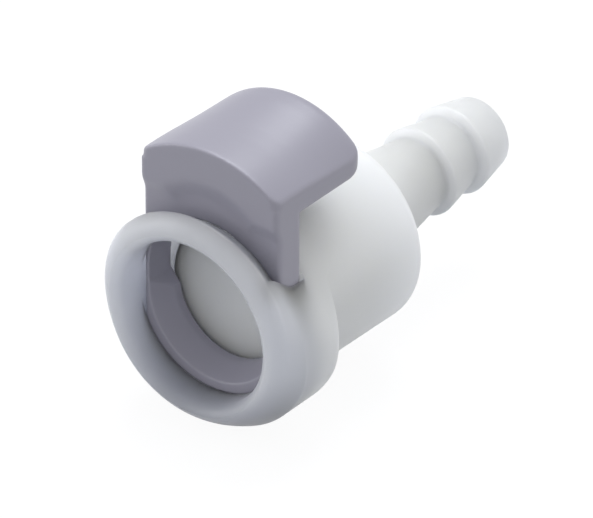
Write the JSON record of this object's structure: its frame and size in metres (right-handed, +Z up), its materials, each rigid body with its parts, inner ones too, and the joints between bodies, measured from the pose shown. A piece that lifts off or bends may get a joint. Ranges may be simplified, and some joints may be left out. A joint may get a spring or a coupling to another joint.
{
  "type": "quick disconnect coupling body",
  "caption": "Plastic quick disconnect coupling body with a sprung thumb latch and a hose barb for 1/4 inch tubing.",
  "frame": {"origin": "centre of the mouth, in the plane of the rim's front", "axes": "+Y along the bore from the mouth to the hose barb, +Z up through the thumb latch, X across the latch"},
  "size_m": [0.0186, 0.0353, 0.0238],
  "materials": {
    "housing_plastic": "translucent natural polypropylene, fine satin",
    "latch_plastic": "satin grey acetal",
    "spring_wire": "drawn stainless wire"
  },
  "bodies": {
    "coupling_body": {"housing": "housing_plastic", "latch_spring": "spring_wire"},
    "latch": {"thumb_latch": "latch_plastic"}
  },
  "joints": [
    {"name": "latch_slide", "type": "slide", "parent": "coupling_body", "child": "latch", "axis": [0, 0, 1], "range_m": [-0.0017, 0], "stiffness_N_per_m": 2400, "springref_m": 0.0014, "deforming": ["latch_spring"]}
  ]
}
